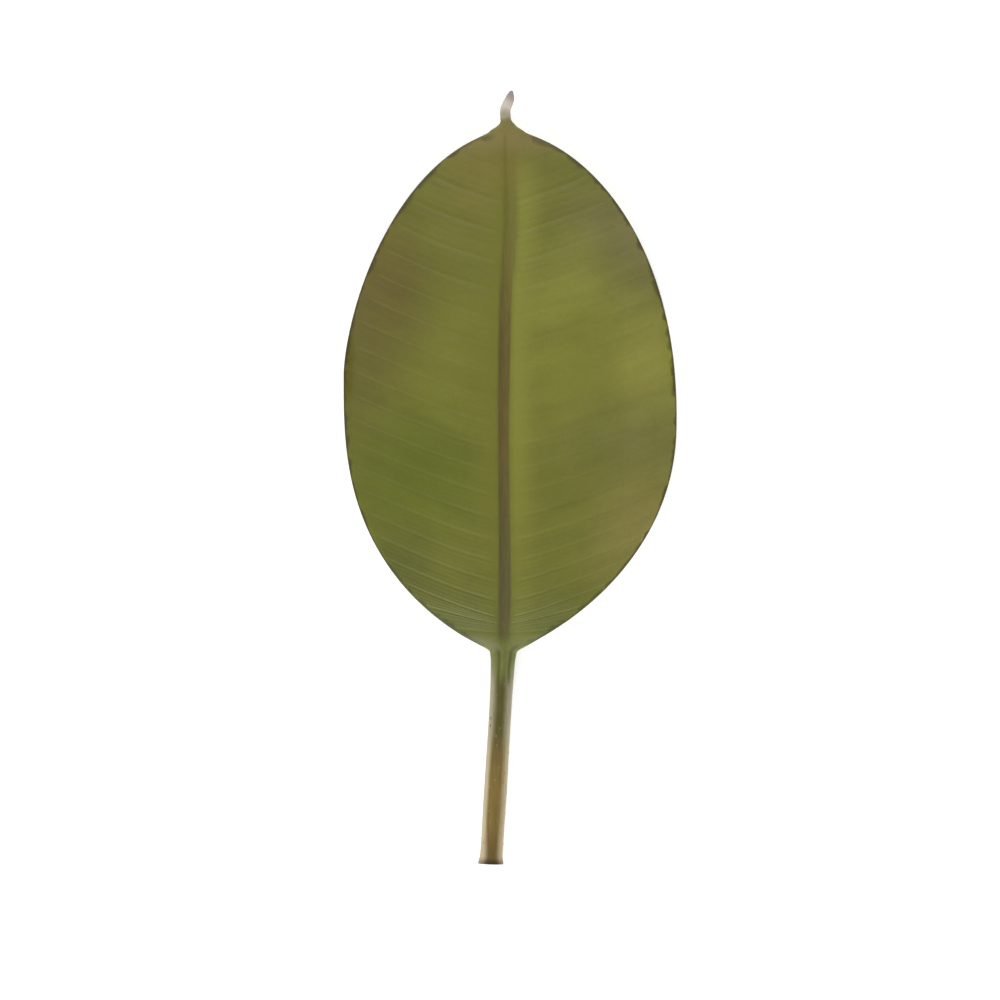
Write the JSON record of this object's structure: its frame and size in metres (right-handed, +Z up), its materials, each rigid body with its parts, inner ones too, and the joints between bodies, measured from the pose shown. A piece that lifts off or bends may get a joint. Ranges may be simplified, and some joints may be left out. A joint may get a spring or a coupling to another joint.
{
  "type": "rubber plant leaf",
  "caption": "Oval leathery rubber plant leaf lying face up, with a sunken midrib, parallel side veins, a withered drip tip and a long round leaf stalk.",
  "frame": {"origin": "on the surface that the leaf lies on, under the middle of its bounding box", "axes": "+Y from the cut end of the stalk to the drip tip, +X to the right of the upper face with the tip pointing away, +Z up, out of the upper face"},
  "size_m": [0.108, 0.2502, 0.0158],
  "materials": {
    "leaf": "satin"
  },
  "bodies": {
    "root": {"leaf": "leaf"}
  },
  "joints": []
}
